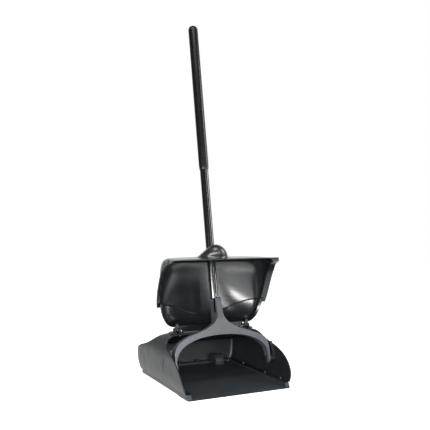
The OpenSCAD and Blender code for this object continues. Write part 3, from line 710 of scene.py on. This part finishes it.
def bead(bm, highs):
    """Rounded bead on the inside of the skirt's upper edge."""
    rings = []
    for i in range(BEAD_STEPS + 1):
        turn = pi * i / BEAD_STEPS
        inset = SKIRT_IN + SKIRT_WALL - BEAD_SINK + (BEAD_IN + BEAD_SINK) * sin(turn)
        row = []
        for k, high in enumerate(highs):
            z = high - BEAD_H / 2 * (1 - cos(turn))
            row.append((*bowl_outline(z, inset, SKIRT_FLANGE_SHARE)[k], z))
        rings.append(row)
    loft(bm, rings + rings[:1])


def cover_skirt():
    """The skirt's skin from its narrow foot up to the seam, with its bead, apron and two hinge legs."""
    bm = bmesh.new()
    highs = seam_heights(SKIRT_IN, SKIRT_OVER, SKIRT_FLANGE_SHARE)
    foot = BOWL_LOW + SKIRT_IN
    shares = [(i / SKIRT_LEVELS) ** 2 for i in range(SKIRT_LEVELS + 1)]
    rows = bowl_rows([foot] * len(highs), highs, shares, SKIRT_IN, SKIRT_FLANGE_SHARE)
    loft(bm, rows, lids=(True, False), ring=LID_RING)
    thicken(bm, SKIRT_WALL)
    bead(bm, highs)
    front, back, top = HINGE.y + APRON_SET, HINGE.y + APRON_SET + SKIRT_WALL, foot + SKIRT_WALL
    block(bm, (-APRON_HALF, front, DECK + APRON_LIFT), (APRON_HALF, back, top))
    for side in (-1, 1):
        x = side * HINGE_X
        rod(bm, (x, HINGE.y, HINGE.z), EYE_R, EYE_W)
        block(bm, (side * (APRON_HALF - CHEEK_LAP), front, DECK + CHEEK_LIFT),
            (side * (HINGE_X - CHEEK_SET), back, top))
        block(bm, (x - EYE_W / 2, HINGE.y - LEG_D / 2, HINGE.z),
            (x + EYE_W / 2, HINGE.y + LEG_D / 2, HINGE.z + LEG_H))
    return bm


# Yoke and handle: drawn upright about the pivot, then leant back
ON_PIVOT = Matrix.Translation(PIVOT) @ Matrix.Rotation(-atan2(LEAN.y, LEAN.z), 4, "X")
ON_AXIS = ON_PIVOT @ Matrix.Translation((0, HANDLE_SET, 0))
YOKE_SKIN = 3
YOKE_WALL = 1.7
ARCH_RISE = 70.5
NECK_HALF = 8
NECK_TOP = 163
ARM_T = 5.6
ARM_IN = ARM_OUT - ARM_T
ARM_END_R = 11
SHOULDER_RISE = 10
TAPER_LOW = 110
TAPER_IN = 13
FIN_LIFT = 2
CURVE_STEPS = 20
# Where the curves of the yoke's outline start and how far they are pulled, as shares of the yoke's own sizes
NECK_FLARE_SHARE = 0.77
SHOULDER_OUT_SHARE = 0.47
ARM_OUT_SHARE = 0.77
ARM_UP_SHARE = 0.87
ARM_STRAIGHT_SHARE = 0.27
ARCH_UP_SHARE = 0.55
ARCH_OUT_SHARE = 0.68


def run(points):
    """Points along a cubic curve."""
    points = [Vector(point) for point in points]
    return [bezier(points, i / CURVE_STEPS) for i in range(CURVE_STEPS + 1)]


def yoke_outline():
    """Right half of the yoke's front view, from the neck's top round the arm to the crown."""
    flare = NECK_FLARE_SHARE * NECK_TOP
    shoulder = (SHOULDER_OUT_SHARE * ARM_OUT, ARCH_RISE + SHOULDER_RISE)
    pull = ARM_END_R + ARCH_UP_SHARE * (ARCH_RISE - ARM_END_R)
    neck = run([(NECK_HALF, flare), (NECK_HALF, (flare + shoulder[1]) / 2),
        (shoulder[0] / 2, shoulder[1] + SHOULDER_RISE), shoulder])
    arm = run([shoulder, (ARM_OUT_SHARE * ARM_OUT, ARCH_RISE - SHOULDER_RISE / 4),
        (ARM_OUT, ARM_UP_SHARE * ARCH_RISE), (ARM_OUT, ARM_STRAIGHT_SHARE * ARCH_RISE)])
    end = [Vector((ARM_OUT, 0)), Vector((ARM_IN, 0))]
    arch = run([(ARM_IN, ARM_END_R), (ARM_IN, pull), (ARCH_OUT_SHARE * ARM_IN, ARCH_RISE), (0, ARCH_RISE)])
    return [Vector((NECK_HALF, NECK_TOP))] + neck + arm[1:] + end + arch


def yoke():
    """The forked yoke: a plate hollow at its back, round arm ends, and a deep fin behind the neck."""
    bm = bmesh.new()
    outline = both_sides(yoke_outline())
    front = bm.faces.new([bm.verts.new((x, -YOKE_DEPTH / 2, z)) for x, z in outline])
    bmesh.ops.recalc_face_normals(bm, faces=[front])
    grown = bmesh.ops.extrude_face_region(bm, geom=[front], use_keep_orig=True)["geom"]
    bmesh.ops.translate(bm, vec=(0, YOKE_DEPTH, 0), verts=points_of(grown))
    back = faces_of(grown)
    bmesh.ops.inset_region(bm, faces=back, thickness=YOKE_WALL, use_even_offset=True)
    pushed = bmesh.ops.extrude_face_region(bm, geom=back)["geom"]
    bmesh.ops.delete(bm, geom=back, context="FACES_ONLY")
    bmesh.ops.translate(bm, vec=(0, YOKE_SKIN - YOKE_DEPTH, 0), verts=points_of(pushed))
    bmesh.ops.bisect_plane(bm, geom=bm.verts[:] + bm.edges[:] + bm.faces[:], plane_co=(0, 0, TAPER_LOW),
        plane_no=(0, 0, 1))
    for vert in bm.verts:
        if vert.co.y < 0 and vert.co.z > TAPER_LOW:
            vert.co.y += TAPER_IN * (vert.co.z - TAPER_LOW) / (NECK_TOP - TAPER_LOW)
    fin = block(bm, (-NECK_HALF, TAPER_IN - YOKE_DEPTH / 2, ARCH_RISE + FIN_LIFT),
        (NECK_HALF, NECK_REAR, NECK_TOP))
    sides = [face for face in bm.faces if set(face.verts) <= set(fin)]
    rear = max(sides, key=lambda face: face.calc_center_median().y)
    bmesh.ops.inset_region(bm, faces=[rear], thickness=YOKE_SKIN, use_even_offset=True)
    bmesh.ops.translate(bm, vec=(0, YOKE_SKIN - NECK_REAR, 0), verts=rear.verts[:])
    for side in (-1, 1):
        rod(bm, (side * (ARM_OUT - ARM_T / 2), 0, 0), ARM_END_R, ARM_T)
    bmesh.ops.transform(bm, matrix=ON_PIVOT, verts=bm.verts)
    return bm


# Tube, sleeve and cap, turned about the handle's axis
HANDLE_LEN = 919
HANDLE_STEPS = 64
SLIDE = 0.02
TUBE_WALL = 1.2
TUBE_EASE = 0.4
GRIP_LEN = 400
GRIP_TAPER = 12
GRIP_END_T = 0.6
GRIP_STEP_T = 1.2
GRIP_STEP_H = 3
GRIP_EASE = 0.8
CAP_H = 13
CAP_EDGE_H = 1.2
CAP_GROOVE = 0.7
CAP_GROOVE_H = 0.5
CAP_ROOF_H = 2
CAP_STEPS = 12
PLUG_LEN = 24
PLUG_WALL = 1.5
TUBE_TOP = HANDLE_LEN - CAP_H


def handle_tube():
    """The tube, with its lower edge eased."""
    inner = TUBE_R - TUBE_WALL
    return lathe([(inner, NECK_TOP), (TUBE_R - TUBE_EASE, NECK_TOP), (TUBE_R, NECK_TOP + TUBE_EASE),
        (TUBE_R, TUBE_TOP), (inner, TUBE_TOP), (inner, NECK_TOP)], ON_AXIS, HANDLE_STEPS)


def grip_sleeve():
    """The sleeve, with a stepped and tapered lower end and an eased upper one."""
    bore = TUBE_R + SLIDE
    low = TUBE_TOP - GRIP_LEN
    return lathe([(bore, low), (TUBE_R + GRIP_END_T, low), (TUBE_R + GRIP_STEP_T, low + GRIP_STEP_H),
        (GRIP_R, low + GRIP_TAPER), (GRIP_R, TUBE_TOP - GRIP_EASE), (GRIP_R - GRIP_EASE, TUBE_TOP),
        (bore, TUBE_TOP), (bore, low)], ON_AXIS, HANDLE_STEPS)


def end_cap():
    """The domed cap, with a groove where it meets the sleeve and a hollow plug in the tube."""
    turn = [radians(90 * i / CAP_STEPS) for i in range(CAP_STEPS + 1)]
    dome = [(GRIP_R * cos(a), TUBE_TOP + CAP_EDGE_H + (CAP_H - CAP_EDGE_H) * sin(a)) for a in turn]
    plug = TUBE_R - TUBE_WALL - SLIDE
    groove, hollow = GRIP_R - CAP_GROOVE, plug - PLUG_WALL
    low, roof = TUBE_TOP - PLUG_LEN, TUBE_TOP + CAP_ROOF_H
    outside = [(hollow, low), (plug, low), (plug, TUBE_TOP), (groove, TUBE_TOP),
        (groove, TUBE_TOP + CAP_GROOVE_H)]
    return lathe(outside + dome + [(0, roof), (hollow, roof), (hollow, low)], ON_AXIS, HANDLE_STEPS)


# Wheels, turned on their joints
WHEEL_R = JOINTS["wheel_left_spin"].z
WHEEL_HALF = 7
WHEEL_STEPS = 48
BORE_R = 3.06
HUB_HALF = 7.75
HUB_R = 6
HUB_FOOT_R = 7.2
WEB_IN_R = 9
WEB_OUT_R = 12.4
WEB_DISH = 1.5
RIM_R = 13.2
# The tread's rounding: how far each point lies inside the tread, and in from the wheel's face
TREAD_ROUND = ((1.4, 0.2), (0.4, 1), (0, 2.6))


def wheel(centre):
    """A wheel with a rounded tread, a dished face and a hub that stands proud."""
    web = WEB_DISH - WHEEL_HALF
    face = [(BORE_R, -HUB_HALF), (HUB_R, -HUB_HALF), (HUB_FOOT_R, -WHEEL_HALF), (WEB_IN_R, web),
        (WEB_OUT_R, web), (RIM_R, -WHEEL_HALF)]
    face += [(WHEEL_R - inset, depth - WHEEL_HALF) for inset, depth in TREAD_ROUND]
    other = [(radius, -height) for radius, height in reversed(face)]
    return lathe(face + other + face[:1], Matrix.Translation(centre) @ ACROSS, WHEEL_STEPS)


# Hand over each piece
def piece(name, shape, body, node, ease=0, segments=2):
    """A finished piece, from a bmesh or a cut mesh, that stands for a CAD node and rides on its body.

    ease is the width of its eased edges in millimetres."""
    mesh = shape if isinstance(shape, bpy.types.Mesh) else to_mesh(name, shape)
    obj = bpy.data.objects.new(name, mesh)
    bpy.context.scene.collection.objects.link(obj)
    if ease:
        bevel = obj.modifiers.new("eased edges", "BEVEL")
        bevel.width = ease * MM
        bevel.segments = segments
        bevel.limit_method = "ANGLE"
        bevel.angle_limit = EASE_ANGLE
        bevel.harden_normals = True
    obj.modifiers.new("even shading", "WEIGHTED_NORMAL").keep_sharp = True
    obj.data.materials.append(MATERIALS[SLOTS[node]])
    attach(obj, body)
    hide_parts(node)


piece("pan_shell_skin", pan_shell(), "pan", "pan_shell", ease=0.8)
piece("floor_tray_plate", floor_tray(), "pan", "floor_tray", ease=0.5)
piece("cover_hood_skin", cover_hood(), "cover", "cover_hood", ease=0.8)
piece("cover_skirt_skin", cover_skirt(), "cover", "cover_skirt", ease=0.8)
piece("collar_dome_skin", collar_dome(), "cover", "collar_dome", ease=0.5)
piece("yoke_fork", yoke(), "handle", "yoke", ease=2.2, segments=3)
piece("handle_tube_coated", handle_tube(), "handle", "handle_tube")
piece("grip_sleeve_vinyl", grip_sleeve(), "handle", "grip_sleeve")
piece("end_cap_domed", end_cap(), "handle", "end_cap")
for side in ("left", "right"):
    roller, lug = "wheel_" + side, "hinge_block_" + side
    piece(roller + "_treaded", wheel(JOINTS[roller + "_spin"]), roller, roller)
    piece(lug + "_eased", solid_of(lug), "pan", lug, ease=0.5)
for name, obj in frame["nodes"].items():
    if not obj.hide_render:
        obj.data.materials.clear()
        obj.data.materials.append(MATERIALS[SLOTS[name]])

# Camera at the photograph's place, level, with its frame moved up by the shift
IMAGE = 430
FOCAL_PX = 605
SHIFT_PX = 15
SENSOR = 36
SIGHT = Vector((0.440, 0.898, 0))
camera = bpy.data.cameras.new("camera")
camera.sensor_width = SENSOR
camera.lens = FOCAL_PX / IMAGE * SENSOR
camera.shift_y = SHIFT_PX / IMAGE
camera_obj = bpy.data.objects.new("camera", camera)
camera_obj.location = (-0.685, -1.418, 0.389)
camera_obj.rotation_euler = (radians(90), 0, -atan2(SIGHT.x, SIGHT.y))
bpy.context.scene.collection.objects.link(camera_obj)
bpy.context.scene.camera = camera_obj

# Studio: a white sheet all round for the camera. The object mirrors it behind and below, and a dim grey room
# at its sides and in front, so that the dark mouldings keep their depth
ROOM_LEVEL = 0.15
SHEET_ANGLE = radians(36)
ROOM_ANGLE = radians(58)
WHITE = linear("#ffffff")
world = bpy.data.worlds.new("studio")
world.use_nodes = True
tree = world.node_tree
tree.nodes.clear()
look = add(tree, "TexCoord").outputs["Generated"]
toward = add(tree, "VectorMath", {0: look, 1: SIGHT}, operation="DOT_PRODUCT").outputs["Value"]
level = add(tree, "MapRange", {"Value": toward, "From Min": cos(ROOM_ANGLE), "From Max": cos(SHEET_ANGLE),
    "To Min": ROOM_LEVEL, "To Max": 1.0}, interpolation_type="SMOOTHSTEP").outputs["Result"]
camera_ray = add(tree, "LightPath").outputs["Is Camera Ray"]
white = add(tree, "Math", {0: level, 1: camera_ray}, operation="MAXIMUM")
sky = add(tree, "Background", {"Color": WHITE, "Strength": white.outputs[0]})
add(tree, "OutputWorld", {"Surface": sky.outputs[0]})
bpy.context.scene.world = world

# Floor: pale paper that takes the shadow, lifted to white where it is seen or mirrored
FLOOR_HALF = 30000
FLOOR_DROP = 0.2
floor_material = bpy.data.materials.new("studio_floor")
floor_material.use_nodes = True
tree = floor_material.node_tree
tree.nodes.clear()
path = add(tree, "LightPath").outputs
gloss = add(tree, "Math", {0: path["Is Camera Ray"], 1: path["Is Glossy Ray"]}, operation="MAXIMUM")
seen = add(tree, "Math", {0: gloss.outputs[0], 1: path["Is Transmission Ray"]}, operation="MAXIMUM")
paper = add(tree, "BsdfDiffuse", {"Color": linear("#d8d8d8")})
glow = add(tree, "Emission", {"Color": WHITE, "Strength": 0.84})
lit = add(tree, "AddShader", {0: glow.outputs[0], 1: paper.outputs[0]})
mixed = add(tree, "MixShader", {"Fac": seen.outputs[0], 1: paper.outputs[0], 2: lit.outputs[0]})
add(tree, "OutputMaterial", {"Surface": mixed.outputs[0]})
bm = bmesh.new()
bmesh.ops.create_grid(bm, x_segments=1, y_segments=1, size=FLOOR_HALF)
bmesh.ops.translate(bm, vec=(0, 0, -FLOOR_DROP), verts=bm.verts)
floor = bpy.data.objects.new("studio_floor", to_mesh("studio_floor", bm))
floor.data.materials.append(floor_material)
bpy.context.scene.collection.objects.link(floor)


def soft_box(name, place, aim_height, size, watts):
    """An area lamp at a place in metres, turned to a height above the object's origin."""
    lamp = bpy.data.lights.new(name, "AREA")
    lamp.shape = "RECTANGLE"
    lamp.size, lamp.size_y = size
    lamp.energy = watts
    obj = bpy.data.objects.new(name, lamp)
    obj.location = place
    obj.rotation_euler = (Vector((0, 0, aim_height)) - Vector(place)).to_track_quat("-Z", "Y").to_euler()
    bpy.context.scene.collection.objects.link(obj)


# A low wide bank for the hollow of the hood, a soft fill from the right and above, and a strip for the tube
soft_box("front_bank", (-1.32, -1.88, 0.54), 0.24, (3.0, 0.32), 130)
soft_box("soft_box_right", (1.9, -0.7, 1.1), 0.22, (0.6, 1.5), 45)
soft_box("top_box", (-0.4, -0.7, 2.1), 0.2, (1.0, 0.8), 30)
soft_box("strip_box", (0.52, -2.0, 0.75), 0.45, (0.16, 1.5), 16)

bpy.context.scene.view_settings.view_transform = "Standard"
